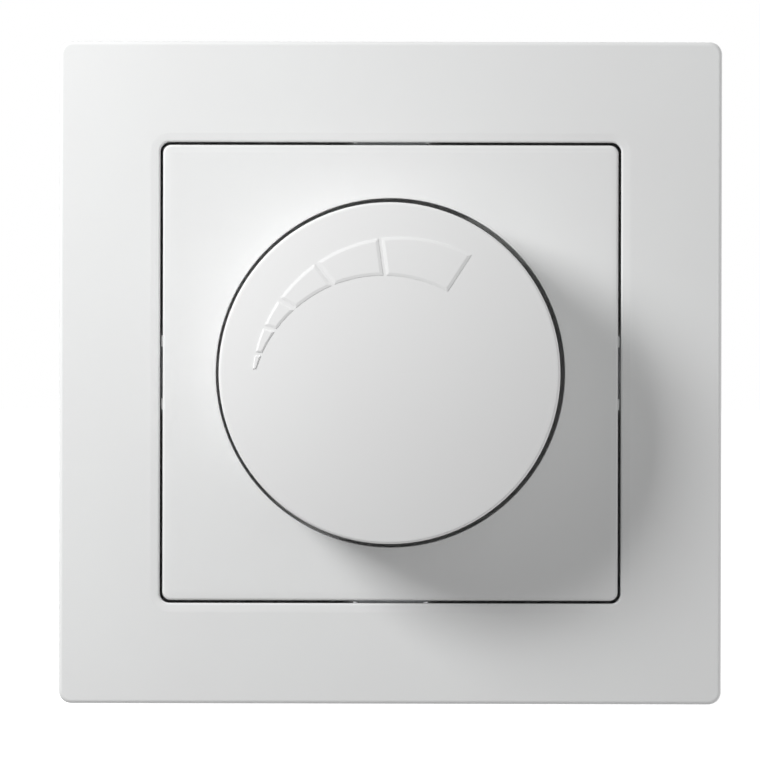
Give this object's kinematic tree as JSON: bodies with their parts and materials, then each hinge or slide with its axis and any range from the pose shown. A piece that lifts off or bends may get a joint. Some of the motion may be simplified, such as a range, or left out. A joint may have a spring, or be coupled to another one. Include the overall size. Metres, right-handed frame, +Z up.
{
  "type": "rotary wall dimmer switch",
  "caption": "Square flush wall dimmer with a push-on, turn-to-dim round knob, cover frame, centre plate and box-mounted insert.",
  "frame": {"origin": "on the knob's axis in the plane of the wall, at the middle of the support plate's back", "axes": "+X to the right seen from the front, +Y into the wall, +Z up"},
  "size_m": [0.08, 0.0484, 0.08],
  "materials": {
    "cover_plastic": "satin white moulded plastic",
    "zinc_steel": "galvanised sheet",
    "screw_steel": "passivated steel",
    "nickel_brass": "bright brass",
    "shaft_plastic": "black moulded plastic",
    "spring_steel": "bright spring steel",
    "housing_plastic": "dark grey moulded plastic",
    "terminal_plastic": "light grey moulded plastic",
    "switch_plastic": "black moulded plastic",
    "track_carbon": "laminate with a carbon track",
    "board_laminate": "green board",
    "epoxy_black": "black epoxy",
    "insulator_grey": "grey silicone pad",
    "ferrite": "dark powder core",
    "copper_wire": "enamelled copper",
    "capacitor_plastic": "yellow box capacitor",
    "trimmer_white": "white plastic",
    "varistor_coating": "blue coating",
    "resistor_coating": "beige coating",
    "diac_glass": "tinted glass body",
    "fuse_glass": "glass with metal caps"
  },
  "bodies": {
    "root": {"cover_frame": "cover_plastic", "centre_plate": "cover_plastic", "threaded_collar": "nickel_brass", "collar_nut": "nickel_brass", "support_plate": "zinc_steel", "rear_housing": "housing_plastic", "housing_screws": "screw_steel", "potentiometer_case": "switch_plastic", "resistance_track": "track_carbon", "push_switch_case": "switch_plastic", "fixed_contacts": "nickel_brass", "switch_spring": "spring_steel", "circuit_board": "board_laminate", "triac": "epoxy_black", "triac_insulator": "insulator_grey", "triac_screw": "screw_steel", "triac_nut": "screw_steel", "choke_core": "ferrite", "choke_winding": "copper_wire", "film_capacitor": "capacitor_plastic", "trimmer_base": "switch_plastic", "varistor": "varistor_coating", "resistors": "resistor_coating", "diac": "diac_glass", "fuse": "fuse_glass", "fuse_clips": "nickel_brass", "terminal_block": "terminal_plastic", "terminal_clamps": "nickel_brass", "terminal_screws": "screw_steel"},
    "wiper_rotor": {"wiper_carrier": "switch_plastic", "wiper_spring": "nickel_brass"},
    "control": {"control_shaft": "shaft_plastic", "rotary_knob": "cover_plastic", "knob_spring_clip": "spring_steel"},
    "plunger": {"switch_plunger": "switch_plastic", "contact_bridge": "nickel_brass"},
    "trimmer": {"trimmer_rotor": "trimmer_white"}
  },
  "joints": [
    {"name": "knob_turn", "type": "hinge", "parent": "root", "child": "wiper_rotor", "pos_m": [0, 0, 0], "axis": [0, 1, 0], "range_deg": [0, 270]},
    {"name": "knob_push", "type": "slide", "parent": "wiper_rotor", "child": "control", "axis": [0, 1, 0], "range_m": [0, 0.0015], "stiffness_N_per_m": 1500, "springref_m": -0.0006},
    {"name": "switch_travel", "type": "slide", "parent": "root", "child": "plunger", "axis": [0, 1, 0], "range_m": [0, 0.0015], "deforming": ["switch_spring"]},
    {"name": "trimmer_turn", "type": "hinge", "parent": "root", "child": "trimmer", "pos_m": [0.01284, 0, -0.01284], "axis": [0, 1, 0], "range_deg": [-120, 120]}
  ],
  "couplings": [
    {"joint": "switch_travel", "follows": "knob_push", "ratio": 1}
  ]
}
